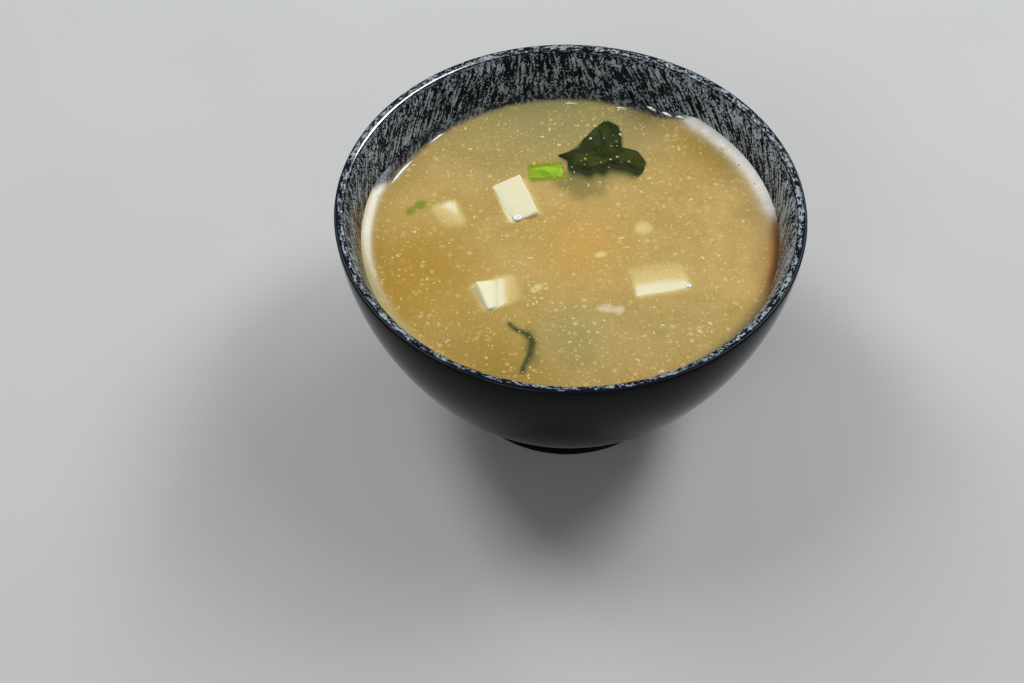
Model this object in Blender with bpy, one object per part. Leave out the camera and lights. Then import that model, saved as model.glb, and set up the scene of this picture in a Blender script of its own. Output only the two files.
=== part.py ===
"""A bowl of miso soup: a lacquered bowl, the soup in it, and what floats in the soup.

Run it with: blender --background --python part.py
Units are metres and +Z is up. The origin is the middle of the foot's underside, on the table.
"""

import math

import bmesh
import bpy
from mathutils import Euler, Vector

MM = 0.001

# ---------------------------------------------------------------- driving sizes

BOWL_HEIGHT = 67.0 * MM
RIM_RADIUS = 60.0 * MM
LIP_WIDTH = 2.8 * MM
LIP_ROUND = 0.6 * MM            # rounding of the lip's two edges
WALL = 5.2 * MM                 # full wall thickness, below the thin lip
WALL_GROWS_OVER = 16.0 * MM     # the depth in which the wall reaches it
FLOOR_EXTRA = 5.2 * MM          # how much thicker the floor is, over the foot
BODY_DEPTH = 70.4 * MM          # where the body's curve would close below the rim
BODY_ROUNDNESS = 2.1            # powers of the body's superellipse
BODY_FALL = 1.61

FOOT_HEIGHT = 6.6 * MM
FOOT_RADIUS = 30.3 * MM
FOOT_TAPER = 0.7 * MM           # the foot is this much slimmer where it meets the body
FOOT_RING = 3.2 * MM            # width of the ring that the bowl stands on
FOOT_RECESS = 2.8 * MM          # how far the underside is hollowed inside the ring

SOUP_BELOW_RIM = 11.8 * MM
GAP = 0.3 * MM                  # between solids that touch
SOUP_LEVEL = BOWL_HEIGHT - SOUP_BELOW_RIM

SEGMENTS = 64                   # round the bowl and the soup
BODY_STEPS = 12                 # down the bowl's outer and inner curves

# Each tofu cube hangs from the end of its highest edge, which is its ridge. The place is in
# millimetres from the bowl's axis and above the soup, the turn is roll, pitch and heading in
# degrees, and the size is along the ridge, across the top face and down. A negative breadth
# puts the top face on the ridge's right as one looks along it.
TOFU_CUBES = {
    "tofu_back": ((-12.8, 19.9, 2.5), (15.0, 3.5, -69.5), (13.8, -8.2, 11.0)),
    "tofu_front_left": ((-23.9, -17.1, 2.3), (-22.0, 9.0, -68.0), (8.8, 11.0, 11.0)),
    "tofu_front_right": ((30.4, -17.3, 0.7), (8.0, -1.0, -168.0), (14.0, -10.0, 10.0)),
    "tofu_back_left": ((-30.2, 12.2, 0.8), (17.0, 12.0, -68.0), (10.0, -6.8, 9.0)),
}
TOFU_EDGE = 0.45 * MM           # the soft edge of a cut cube

# Wakame seaweed. Points are millimetres from the bowl's axis; True marks a sharp corner.
LEAF_OUTLINE = [
    (-2.4, 28.9, True), (1.5, 31.2, False), (5.8, 36.6, False), (10.6, 41.4, True),
    (14.0, 38.9, True), (14.6, 35.0, False), (14.3, 31.4, True), (18.2, 30.2, False),
    (21.4, 25.4, False), (18.4, 20.4, False), (10.5, 16.0, False), (5.5, 10.5, False),
    (0.6, 13.5, False), (0.5, 20.5, False), (-0.1, 27.0, True),
]
LEAF_THICKNESS = 0.6 * MM
LEAF_CELL = 1.8 * MM            # mesh size of the wavy sheet that the leaf is cut from
LEAF_CREST = 25.4               # mm: the fold that stands out of the soup
LEAF_WAVE = 11.4                # mm from one fold of the leaf to the next
LEAF_SWELL = 0.75               # mm: height of the folds
LEAF_DIVE = 0.36                # slope of the front part, which dives under the soup
LEAF_LOBE = 14.0                # mm: right of this, the leaf lies flat on the soup

STRAND_ROUTE = [
    (-15.8, -28.8), (-13.9, -31.1), (-11.5, -32.5), (-9.9, -34.9),
    (-10.3, -38.0), (-11.8, -41.8), (-12.9, -45.2),
]
STRAND_HEIGHT = 5.0 * MM        # how deep this strand hangs on edge
STRAND_THICKNESS = 0.8 * MM
STRAND_TWIST = 1.8 * MM         # its lower edge leans left at one end and right at the other
STRAND_ABOVE_SOUP = 0.35 * MM

# Spring onion: pieces of a hollow green leaf, lying on their side. Each has the middle x, y
# and top above the soup in millimetres, its roll, pitch and heading in degrees, and then
# its length and the radius of the round leaf.
ONION_PIECES = {
    "spring_onion": ((-5.7, 22.9, 0.5), (0.0, -2.0, 6.0), (9.3 * MM, 3.3 * MM)),
    "spring_onion_small": ((-38.9, 10.9, 0.25), (0.0, 8.0, 62.0), (3.4 * MM, 1.5 * MM)),
}
ONION_WALL = 0.27              # wall thickness over the radius
ONION_FLATTENED = 0.62          # height of the squashed tube over its width
ONION_OPEN = 60.0               # degrees left open below, where the leaf is slit


# ---------------------------------------------------------------- helpers

def clear_scene():
    """Remove the objects that a new file starts with."""
    for thing in list(bpy.data.objects):
        bpy.data.objects.remove(thing, do_unlink=True)


def finish(name, colour, roughness, coat=0.0):
    """A Principled material."""
    material = bpy.data.materials.new(name)
    material.use_nodes = True
    shader = material.node_tree.nodes["Principled BSDF"]
    shader.inputs["Base Color"].default_value = (*colour, 1.0)
    shader.inputs["Roughness"].default_value = roughness
    shader.inputs["Coat Weight"].default_value = coat
    material.diffuse_color = (*colour, 1.0)
    return material


def put_in_scene(name, data, material=None):
    """Link a mesh or a curve to the scene as an object."""
    thing = bpy.data.objects.new(name, data)
    bpy.context.scene.collection.objects.link(thing)
    if material:
        data.materials.append(material)
    return thing


def mesh_from(name, shape):
    """Turn a bmesh into a mesh with round stretches shaded smooth."""
    mesh = bpy.data.meshes.new(name)
    bmesh.ops.recalc_face_normals(shape, faces=shape.faces)
    shape.to_mesh(mesh)
    shape.free()
    mesh.shade_smooth()
    mesh.set_sharp_from_angle(angle=math.radians(35))
    return mesh


def turned(name, profile):
    """Spin a profile of (radius, height) points about Z. It starts and ends on the axis."""
    shape = bmesh.new()
    points = [shape.verts.new((radius, 0.0, height)) for radius, height in profile]
    lines = [shape.edges.new(pair) for pair in zip(points, points[1:])]
    bmesh.ops.spin(
        shape, geom=points + lines, cent=(0, 0, 0), axis=(0, 0, 1),
        angle=math.tau, steps=SEGMENTS, use_merge=True,
    )
    bmesh.ops.remove_doubles(shape, verts=shape.verts, dist=1e-6)
    return mesh_from(name, shape)


def arc(centre, radius, start, end, steps):
    """Points of an arc from one angle to the other, in degrees."""
    points = []
    for step in range(steps + 1):
        angle = math.radians(start + (end - start) * step / steps)
        points.append((centre[0] + radius * math.cos(angle), centre[1] + radius * math.sin(angle)))
    return points


def use_as_cutter(thing):
    """Keep an object out of the model: it only cuts or trims another."""
    thing.hide_render = True
    thing.display_type = "WIRE"


def add_boolean(thing, cutter, operation):
    """Cut, or trim, one object with another."""
    boolean = thing.modifiers.new(cutter.name, "BOOLEAN")
    boolean.object = cutter
    boolean.operation = operation
    boolean.solver = "EXACT"


# ---------------------------------------------------------------- the bowl

def body_radius(depth):
    """Outer radius of the bowl's body at a depth below the rim: a superellipse."""
    return RIM_RADIUS * (1.0 - (depth / BODY_DEPTH) ** BODY_FALL) ** (1.0 / BODY_ROUNDNESS)


def wall_at(depth):
    """Thickness from the thin lip to the full wall, and on to the thick floor."""
    share = math.sin(min(depth / WALL_GROWS_OVER, 1.0) * math.pi / 2)
    return LIP_WIDTH + (WALL - LIP_WIDTH) * share + FLOOR_EXTRA * (depth / BODY_DEPTH) ** 6


def inner_point(depth):
    """The point of the inner surface that faces the outer one at this depth."""
    step = 0.01 * MM
    fall = (body_radius(depth + step) - body_radius(max(depth - step, 0.0))) / (
        step + min(depth, step))
    inward = Vector((-1.0, fall)).normalized() * wall_at(depth)
    return (body_radius(depth) + inward.x, BOWL_HEIGHT - depth - inward.y)


def inner_curve(steps):
    """The inside of the bowl from the lip's inner edge down to the axis."""
    floor_depth = BODY_DEPTH * 0.985
    points = []
    for step in range(steps + 1):
        depth = floor_depth * math.sin(step / steps * math.pi / 2)
        points.append(inner_point(depth))
    return points


def bowl_profile():
    """The whole section: up the inside, over the lip, down the outside and under the foot."""
    inside = [point for point in inner_curve(BODY_STEPS) if point[0] > 2 * MM]
    floor = (0.0, inside[-1][1] - 0.3 * MM)
    lip_inner = RIM_RADIUS - LIP_WIDTH + LIP_ROUND
    lip_outer = RIM_RADIUS - LIP_ROUND
    lip_height = BOWL_HEIGHT - LIP_ROUND
    lip = arc((lip_inner, lip_height), LIP_ROUND, 180, 90, 3)
    lip += arc((lip_outer, lip_height), LIP_ROUND, 90, 0, 3)

    body_end = BOWL_HEIGHT - FOOT_HEIGHT
    outside = []
    for step in range(1, BODY_STEPS + 1):
        depth = body_end * (step / BODY_STEPS) ** 0.8
        outside.append((body_radius(depth), BOWL_HEIGHT - depth))

    foot_top = FOOT_RADIUS - FOOT_TAPER
    inner_foot = FOOT_RADIUS - FOOT_RING
    foot = [
        (foot_top, FOOT_HEIGHT - 1.2 * MM),
        (FOOT_RADIUS, 0.5 * MM),
        (FOOT_RADIUS - 0.5 * MM, 0.0),
        (inner_foot + 0.5 * MM, 0.0),
        (inner_foot, 0.5 * MM),
        (inner_foot - 0.4 * MM, FOOT_RECESS),
        (0.0, FOOT_RECESS + 0.3 * MM),
    ]
    return [floor] + inside[:0:-1] + lip + outside + foot


def make_bowl():
    material = finish("black_lacquer", (0.012, 0.013, 0.016), 0.12, coat=0.6)
    return put_in_scene("bowl", turned("bowl", bowl_profile()), material)


# ---------------------------------------------------------------- the soup

def radius_inside(height):
    """Radius of the bowl's inner surface at a height, found by halving the depth's range."""
    shallow, deep = 0.0, BODY_DEPTH * 0.9
    for _ in range(40):
        middle = (shallow + deep) / 2
        if inner_point(middle)[1] > height:
            shallow = middle
        else:
            deep = middle
    return inner_point(deep)[0]


def soup_profile():
    """The soup fills the bowl up to its level, a gap away from the wall."""
    wall = []
    for radius, height in inner_curve(BODY_STEPS):
        if height + GAP < SOUP_LEVEL - 0.5 * MM and radius > 2 * MM:
            wall.append((radius - GAP, height + GAP))
    edge = (radius_inside(SOUP_LEVEL) - GAP, SOUP_LEVEL)
    floor = (0.0, wall[-1][1])
    return [(0.0, SOUP_LEVEL), edge] + wall + [floor]


def make_soup():
    material = finish("soup", (0.46, 0.32, 0.10), 0.15)
    return put_in_scene("soup", turned("soup", soup_profile()), material)


# ---------------------------------------------------------------- tofu

def cube_mesh(name, size, grow=0.0):
    """A block that hangs from the origin: along +X, to one side in Y, and down."""
    length, breadth, height = (value * MM for value in size)
    shape = bmesh.new()
    bmesh.ops.create_cube(shape, size=1.0)
    bmesh.ops.scale(
        shape, verts=shape.verts,
        vec=(length + 2 * grow, abs(breadth) + 2 * grow, height + 2 * grow),
    )
    bmesh.ops.translate(shape, verts=shape.verts, vec=(length / 2, breadth / 2, -height / 2))
    return mesh_from(name, shape)


def hang_cube(thing, place, turn):
    """Put a block's ridge corner in its place and turn it, then soften its edges."""
    x, y, above_soup = (value * MM for value in place)
    thing.location = (x, y, SOUP_LEVEL + above_soup)
    thing.rotation_euler = Euler([math.radians(angle) for angle in turn])
    soft_edge = thing.modifiers.new("soft_edge", "BEVEL")
    soft_edge.width = TOFU_EDGE
    soft_edge.segments = 2


def make_tofu(soup):
    material = finish("tofu", (0.85, 0.80, 0.64), 0.35)
    for name, (place, turn, size) in TOFU_CUBES.items():
        cube = put_in_scene(name, cube_mesh(name, size), material)
        hang_cube(cube, place, turn)
        room = put_in_scene(name + "_room", cube_mesh(name + "_room", size, grow=GAP))
        hang_cube(room, place, turn)
        use_as_cutter(room)
        add_boolean(soup, room, "DIFFERENCE")


# ---------------------------------------------------------------- wakame

def leaf_height(x, y):
    """Height of the leaf above the soup, in millimetres, from its place in millimetres."""
    ripple = 0.12 * math.sin(1.3 * x + 0.6 * y)
    if y < LEAF_CREST:
        return LEAF_SWELL - LEAF_DIVE * (LEAF_CREST - y) + ripple
    folds = LEAF_SWELL * math.cos(math.tau * (y - LEAF_CREST) / LEAF_WAVE)
    lean = 0.13 * (x - 10.0) * min(max((y - 30.0) / 4.0, 0.0), 1.0)
    flat = min(max((x - LEAF_LOBE) / 2.0, 0.0), 1.0)
    return (folds + lean) * (1 - flat) + 0.5 * flat + ripple


def wavy_sheet(name, thickness):
    """A rectangle of sheet with the leaf's folds, a little larger than the leaf."""
    margin = 2.0
    left = min(point[0] for point in LEAF_OUTLINE) - margin
    right = max(point[0] for point in LEAF_OUTLINE) + margin
    front = min(point[1] for point in LEAF_OUTLINE) - margin
    back = max(point[1] for point in LEAF_OUTLINE) + margin
    cell = LEAF_CELL / MM
    columns = round((right - left) / cell)
    rows = round((back - front) / cell)
    shape = bmesh.new()
    bmesh.ops.create_grid(shape, x_segments=columns, y_segments=rows, size=0.5)
    for corner in shape.verts:
        x = left + (corner.co.x + 0.5) * (right - left)
        y = front + (corner.co.y + 0.5) * (back - front)
        corner.co = Vector((x, y, leaf_height(x, y))) * MM
    sheet = put_in_scene(name, mesh_from(name, shape))
    sheet.location.z = SOUP_LEVEL
    body = sheet.modifiers.new("thickness", "SOLIDIFY")
    body.thickness = thickness
    body.offset = 0.0
    return sheet


def leaf_trim(name, grow):
    """A prism of the leaf's outline, which trims the sheet to shape."""
    curve = bpy.data.curves.new(name, "CURVE")
    curve.dimensions = "2D"
    curve.fill_mode = "BOTH"
    curve.extrude = 20 * MM
    curve.offset = grow
    curve.resolution_u = 3
    line = curve.splines.new("BEZIER")
    line.bezier_points.add(len(LEAF_OUTLINE) - 1)
    line.use_cyclic_u = True
    for point, (x, y, corner) in zip(line.bezier_points, LEAF_OUTLINE):
        point.co = (x * MM, y * MM, 0.0)
        kind = "VECTOR" if corner else "AUTO"
        point.handle_left_type = kind
        point.handle_right_type = kind
    flat = put_in_scene(name + "_outline", curve)
    bpy.context.view_layer.update()
    solid = bpy.data.meshes.new_from_object(flat.evaluated_get(bpy.context.evaluated_depsgraph_get()))
    bpy.data.objects.remove(flat, do_unlink=True)
    shape = bmesh.new()
    shape.from_mesh(solid)
    bmesh.ops.remove_doubles(shape, verts=shape.verts, dist=1e-6)
    trim = put_in_scene(name, mesh_from(name, shape))
    trim.location.z = SOUP_LEVEL
    use_as_cutter(trim)
    return trim


def make_leaf(soup):
    material = finish("wakame", (0.035, 0.05, 0.012), 0.3)
    leaf = wavy_sheet("wakame_leaf", LEAF_THICKNESS)
    leaf.data.materials.append(material)
    add_boolean(leaf, leaf_trim("leaf_trim", 0.0), "INTERSECT")
    room = wavy_sheet("leaf_room", LEAF_THICKNESS + 2 * GAP)
    use_as_cutter(room)
    add_boolean(room, leaf_trim("leaf_room_trim", GAP), "INTERSECT")
    add_boolean(soup, room, "DIFFERENCE")
    return material


def smooth_route(points, steps):
    """Points of a Catmull-Rom curve through the given ones."""
    ends = [points[0]] + list(points) + [points[-1]]
    route = []
    for before, start, end, after in zip(ends, ends[1:], ends[2:], ends[3:]):
        for step in range(steps):
            t = step / steps
            route.append(tuple(
                0.5 * (2 * b + (c - a) * t + (2 * a - 5 * b + 4 * c - d) * t ** 2
                       + (3 * b - a - 3 * c + d) * t ** 3)
                for a, b, c, d in zip(before, start, end, after)))
    return route + [points[-1]]


def strand_mesh(name, grow):
    """A narrow leaf on edge: a strip of the route, as high as the leaf is wide."""
    route = [Vector((x * MM, y * MM, grow)) for x, y in smooth_route(STRAND_ROUTE, 3)]
    route[0] += (route[0] - route[1]).normalized() * grow
    route[-1] += (route[-1] - route[-2]).normalized() * grow
    shape = bmesh.new()
    high = [shape.verts.new(point) for point in route]
    low = []
    for index, point in enumerate(route):
        lean = STRAND_TWIST * (2 * index / (len(route) - 1) - 1)
        low.append(shape.verts.new(point + Vector((lean, 0.0, -STRAND_HEIGHT - 2 * grow))))
    for index in range(len(route) - 1):
        shape.faces.new((high[index], high[index + 1], low[index + 1], low[index]))
    return mesh_from(name, shape)


def make_strand(soup, material):
    """One strand, and the room that the soup leaves for it."""
    for name, grow in (("wakame_strand", 0.0), ("strand_room", GAP)):
        strand = put_in_scene(name, strand_mesh(name, grow))
        strand.location.z = SOUP_LEVEL + STRAND_ABOVE_SOUP
        body = strand.modifiers.new("thickness", "SOLIDIFY")
        body.thickness = STRAND_THICKNESS + 2 * grow
        body.offset = 0.0
        if grow:
            use_as_cutter(strand)
            add_boolean(soup, strand, "DIFFERENCE")
        else:
            strand.data.materials.append(material)


# ---------------------------------------------------------------- spring onion

def onion_mesh(name, length, radius, grow, hollow):
    """A squashed tube along X. It is slit open below, or solid where it makes room."""
    shape = bmesh.new()
    outer = radius + grow
    inner = radius * (1 - ONION_WALL)
    if hollow:
        start = -90 + ONION_OPEN / 2
        end = 270 - ONION_OPEN / 2
        section = arc((0, 0), outer, start, end, 14) + arc((0, 0), inner, end, start, 12)
    else:
        section = arc((0, 0), outer, 0, 360 - 360 / 16, 15)
    corners = []
    for y, z in section:
        lift = z * ONION_FLATTENED + grow * (1 - ONION_FLATTENED) * z / outer
        corners.append(shape.verts.new((-length / 2 - grow, y, lift)))
    end_face = shape.faces.new(corners)
    pulled = bmesh.ops.extrude_face_region(shape, geom=[end_face])
    moved = [item for item in pulled["geom"] if isinstance(item, bmesh.types.BMVert)]
    bmesh.ops.translate(shape, verts=moved, vec=(length + 2 * grow, 0, 0))
    return mesh_from(name, shape)


def make_onions(soup):
    material = finish("spring_onion", (0.24, 0.40, 0.03), 0.3)
    for name, (place, turn, (length, radius)) in ONION_PIECES.items():
        x, y, above_soup = (value * MM for value in place)
        middle = SOUP_LEVEL + above_soup - radius * ONION_FLATTENED
        piece = put_in_scene(name, onion_mesh(name, length, radius, 0.0, True), material)
        room = put_in_scene(
            name + "_room", onion_mesh(name + "_room", length, radius, GAP, False))
        use_as_cutter(room)
        add_boolean(soup, room, "DIFFERENCE")
        for thing in (piece, room):
            thing.location = (x, y, middle)
            thing.rotation_euler = Euler([math.radians(angle) for angle in turn])


# ---------------------------------------------------------------- the part

clear_scene()
make_bowl()
soup = make_soup()
make_tofu(soup)
make_onions(soup)
wakame = make_leaf(soup)
make_strand(soup, wakame)
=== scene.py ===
# %% [markdown]
# # A bowl of miso soup
# The solid model gives the main forms: a lacquered bowl, the soup, four cubes of tofu, two
# pieces of wakame and two of spring onion. This lesson dresses them. The bowl gets its smooth
# wall and its silver flecks, the soup its curved edge and its cloudy colour, and each topping
# a finer shape. Each stays within about two and a half millimetres of its solid: some are
# tilted a little more, and some lie a little lower.

# %% Load the solid model
import math
import random

import bmesh
import bpy
from mathutils import Euler, Matrix, Vector, noise
from mathutils.bvhtree import BVHTree
from mathutils.kdtree import KDTree


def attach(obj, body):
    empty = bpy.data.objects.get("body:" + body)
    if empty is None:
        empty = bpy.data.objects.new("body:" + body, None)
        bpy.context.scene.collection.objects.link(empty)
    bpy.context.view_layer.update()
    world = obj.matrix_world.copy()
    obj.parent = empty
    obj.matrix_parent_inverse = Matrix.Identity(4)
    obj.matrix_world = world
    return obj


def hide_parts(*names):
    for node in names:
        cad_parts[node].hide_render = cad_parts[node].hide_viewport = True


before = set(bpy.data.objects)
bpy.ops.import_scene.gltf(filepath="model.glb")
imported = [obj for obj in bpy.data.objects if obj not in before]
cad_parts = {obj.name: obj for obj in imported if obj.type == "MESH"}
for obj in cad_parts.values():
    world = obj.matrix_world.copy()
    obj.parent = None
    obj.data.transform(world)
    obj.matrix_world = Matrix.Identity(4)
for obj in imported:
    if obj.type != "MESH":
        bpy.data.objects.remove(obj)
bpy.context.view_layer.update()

MM = 0.001

# %% [markdown]
# The camera stands in front of the bowl and looks down into it at about fifty degrees, with
# a long lens, so that the rim is an even oval.

# %% Camera
FOCAL_LENGTH = 66.80            # mm
SENSOR_WIDTH = 36.0             # mm
CAMERA_PLACE = (-0.01483, -0.32854, 0.42193)
CAMERA_TILT = 38.68             # degrees up from straight down

lens = bpy.data.cameras.new("camera")
lens.sensor_width = SENSOR_WIDTH
lens.lens = FOCAL_LENGTH
camera = bpy.data.objects.new("camera", lens)
camera.location = CAMERA_PLACE
camera.rotation_euler = (math.radians(CAMERA_TILT), 0.0, 0.0)
bpy.context.scene.collection.objects.link(camera)
bpy.context.scene.camera = camera
bpy.context.scene.view_settings.view_transform = "Standard"
print("lens", lens.lens, "mm")

# %% [markdown]
# A few helpers keep the steps short. An operator acts on whatever is selected, so each step
# first takes hold of its own piece alone. A finished piece has its modifiers and its place in
# its mesh, closed seams, and faces that point outwards.

# %% Taking hold of a piece
def let_go():
    """Leave edit mode and deselect everything."""
    if bpy.context.object and bpy.context.object.mode != "OBJECT":
        bpy.ops.object.mode_set(mode="OBJECT")
    bpy.ops.object.select_all(action="DESELECT")


def take(*pieces):
    """Select these pieces alone, and make the first one active."""
    let_go()
    for piece in pieces:
        piece.select_set(True)
    bpy.context.view_layer.objects.active = pieces[0]


def name_new(name):
    """Name the primitive that was just added."""
    piece = bpy.context.object
    piece.name = piece.data.name = name
    return piece


# %% Finishing a piece
MERGE_WITHIN = 1e-6             # metres between corners that are one


def settle(piece, crease=40.0, mend=True):
    """Apply modifiers and place, close seams, point faces outwards and shade smooth."""
    take(piece)
    for modifier in list(piece.modifiers):
        bpy.ops.object.modifier_apply(modifier=modifier.name)
    bpy.ops.object.transform_apply(location=True, rotation=True, scale=True)
    if mend:
        bpy.ops.object.mode_set(mode="EDIT")
        bpy.ops.mesh.select_all(action="SELECT")
        bpy.ops.mesh.remove_doubles(threshold=MERGE_WITHIN)
        bpy.ops.mesh.normals_make_consistent(inside=False)
        bpy.ops.object.mode_set(mode="OBJECT")
    bpy.ops.object.shade_smooth_by_angle(angle=math.radians(crease))
    print(piece.name, "has", len(piece.data.polygons), "faces")
    return piece


def dress(piece, slot, *materials):
    """Give a piece its materials and its body, and print the record's slot that they belong to.
    """
    piece.data.materials.clear()
    for material in materials:
        piece.data.materials.append(material)
    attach(piece, "root")
    print(piece.name, "takes the finish of", slot)
    return piece


# %% [markdown]
# Materials are sums of patterns. A small class lets their maths be written as it would be on
# paper: `1 - mask` or `flecks * 0.5` adds the Math nodes by itself.

# %% Shader maths
class Wire:
    """The output of a node. Sums and products of wires add Math nodes."""

    def __init__(self, finish, socket):
        self.finish = finish
        self.socket = socket

    def maths(self, operation, *values):
        return self.finish.node(
            "ShaderNodeMath", {"operation": operation}, dict(enumerate(values)))

    def __add__(self, other):
        return self.maths("ADD", self, other)

    def __sub__(self, other):
        return self.maths("SUBTRACT", self, other)

    def __rsub__(self, other):
        return self.maths("SUBTRACT", other, self)

    def __mul__(self, other):
        return self.maths("MULTIPLY", self, other)

    def __truediv__(self, other):
        return self.maths("DIVIDE", self, other)

    def __pow__(self, other):
        return self.maths("POWER", self, other)

    __radd__ = __add__
    __rmul__ = __mul__

    def root(self):
        return self.maths("SQRT", self)

    def between(self, low, high):
        """0 at low, 1 at high and a smooth step from one to the other."""
        return self.finish.node(
            "ShaderNodeMapRange", {"interpolation_type": "SMOOTHSTEP"},
            {"Value": self, "From Min": low, "From Max": high})


# %% A material and its nodes
class Finish:
    """A material that ends in one Principled shader."""

    def __init__(self, name, **constants):
        self.material = bpy.data.materials.new(name)
        self.material.use_nodes = True
        self.tree = self.material.node_tree
        self.shader = self.tree.nodes["Principled BSDF"]
        for socket, value in constants.items():
            self.shader.inputs[socket.replace("_", " ")].default_value = value

    def node(self, kind, settings=None, sockets=None, output=0):
        """Add a node: its settings first, then the values or wires of its sockets."""
        node = self.tree.nodes.new(kind)
        for setting, value in (settings or {}).items():
            setattr(node, setting, value)
        for socket, value in (sockets or {}).items():
            if isinstance(value, Wire):
                self.tree.links.new(value.socket, node.inputs[socket])
            else:
                node.inputs[socket].default_value = value
        return Wire(self, node.outputs[output])

    def set(self, **wires):
        """Wire patterns into the shader's sockets."""
        for socket, wire in wires.items():
            self.tree.links.new(wire.socket, self.shader.inputs[socket.replace("_", " ")])

    def point(self):
        """The point on the piece, in metres."""
        return self.node("ShaderNodeTexCoord", output=3)

    def place(self):
        """The point on the piece, in metres, and its x, y and z."""
        point = self.point()
        parts = [self.node("ShaderNodeSeparateXYZ", sockets={0: point}, output=axis)
                 for axis in range(3)]
        return point, *parts

    def vector(self, x, y, z):
        return self.node("ShaderNodeCombineXYZ", sockets={0: x, 1: y, 2: z})

    def stretched(self, point, x, y, z, move=(0.0, 0.0, 0.0)):
        """The point, moved and with its axes scaled."""
        return self.node("ShaderNodeMapping", sockets={
            "Vector": point, "Location": move, "Scale": (x, y, z)})

    def noise(self, point, size_mm, detail=2.0, roughness=0.5, distortion=0.0):
        """Cloudy noise from 0 to 1 whose patches are about size_mm across."""
        return self.node("ShaderNodeTexNoise", sockets={
            "Vector": point, "Scale": 1 / (size_mm * MM), "Detail": detail,
            "Roughness": roughness, "Distortion": distortion})

    def attribute(self, name):
        """A number that the mesh holds at each of its points."""
        return self.node("ShaderNodeAttribute", {"attribute_name": name}, output=2)

    def mix(self, amount, low, high):
        """A colour between two others."""
        return self.node(
            "ShaderNodeMix", {"data_type": "RGBA"},
            {0: amount, 6: low, 7: high}, output=2)

    def tint(self, colour, amount, warmth=0.0):
        """A colour made darker or lighter by a wire, and warmer all over."""
        grey = self.vector(amount * (1 + warmth), amount, amount * (1 - warmth))
        return self.node(
            "ShaderNodeMix", {"data_type": "RGBA", "blend_type": "MULTIPLY"},
            {0: 1.0, 6: colour, 7: grey}, output=2)

    def bump(self, height, millimetres, strength=1.0):
        """A normal from a height pattern that is this deep."""
        return self.node("ShaderNodeBump", sockets={
            "Strength": strength, "Distance": millimetres * MM, "Height": height})


def colour(red, green, blue):
    """A colour given as it looks on a screen, 0 to 255, as the linear light that it is."""
    def linear(value):
        share = value / 255
        return share / 12.92 if share <= 0.04045 else ((share + 0.055) / 1.055) ** 2.4
    return (linear(red), linear(green), linear(blue), 1.0)


# %% [markdown]
# ## The bowl
# A turned bowl has one section all the way round. The outside is a superellipse from the rim
# to the foot, and the inside follows it at the wall's thickness, thin at the lip and thick at
# the floor. These are the solid model's own formulas, in millimetres.

# %% The bowl's section
BOWL_HEIGHT = 67.0
RIM_RADIUS = 60.0
LIP_WIDTH = 2.8
LIP_ROUND = 0.6
LIP_INNER_ROUND = 1.6
WALL = 5.2
WALL_GROWS_OVER = 16.0
FLOOR_EXTRA = 5.2
BODY_DEPTH = 70.4
BODY_ROUNDNESS = 2.1
BODY_FALL = 1.61
FOOT_HEIGHT = 6.6
FOOT_RADIUS = 30.3
FOOT_TAPER = 0.7
FOOT_RING = 3.2
FOOT_RECESS = 2.8
SOUP_LEVEL = BOWL_HEIGHT - 11.8
AXIS = 0.0001                   # as near the axis as a ring can be before it is merged


def body_radius(depth):
    return RIM_RADIUS * (1 - (depth / BODY_DEPTH) ** BODY_FALL) ** (1 / BODY_ROUNDNESS)


def wall_at(depth):
    share = math.sin(min(depth / WALL_GROWS_OVER, 1.0) * math.pi / 2)
    return LIP_WIDTH + (WALL - LIP_WIDTH) * share + FLOOR_EXTRA * (depth / BODY_DEPTH) ** 6


def inner_point(depth):
    """The point inside the bowl that faces the outer one at this depth."""
    step = 0.01
    fall = (body_radius(depth + step) - body_radius(max(depth - step, 0.0))) / (
        step + min(depth, step))
    inward = Vector((-1.0, fall)).normalized() * wall_at(depth)
    return (body_radius(depth) + inward.x, BOWL_HEIGHT - depth - inward.y)


def radius_inside(height):
    """Radius of the inner surface at a height, found by halving the range of depths."""
    shallow, deep = 0.0, BODY_DEPTH * 0.9
    for _ in range(40):
        middle = (shallow + deep) / 2
        if inner_point(middle)[1] > height:
            shallow = middle
        else:
            deep = middle
    return inner_point(deep)[0]


SOUP_RADIUS = radius_inside(SOUP_LEVEL)
print("the soup meets the wall at", round(SOUP_RADIUS, 2), "mm")


# %% Pulling a ring through a section
def throw(name, section, sides):
    """Pull a ring through every radius and height of a section, as on a potter's wheel."""
    let_go()
    radius, height = section[0]
    bpy.ops.mesh.primitive_circle_add(vertices=sides, radius=radius * MM)
    piece = name_new(name)
    bpy.ops.object.mode_set(mode="EDIT")
    bpy.ops.mesh.select_all(action="SELECT")
    bpy.ops.transform.translate(value=(0, 0, height * MM))
    for next_radius, next_height in section[1:]:
        bpy.ops.mesh.extrude_edges_move(
            TRANSFORM_OT_translate={"value": (0, 0, (next_height - height) * MM)})
        share = next_radius / radius
        bpy.ops.transform.resize(
            value=(share, share, 1), center_override=(0, 0, next_height * MM))
        radius, height = next_radius, next_height
    bpy.ops.object.mode_set(mode="OBJECT")
    return piece


def arc(centre, radius, start, end, steps):
    points = []
    for step in range(steps + 1):
        angle = math.radians(start + (end - start) * step / steps)
        points.append((centre[0] + radius * math.cos(angle),
                       centre[1] + radius * math.sin(angle)))
    return points


# %% The whole section, from the inner floor over the lip and down to the underside
INNER_STEPS = 44
OUTER_STEPS = 36
LIP_STEPS = 6
LIP_INNER_STEPS = 9
FLOOR_SHARE = 0.985             # how far down the body's curve the inner floor lies
BOWL_SIDES = 240


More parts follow.
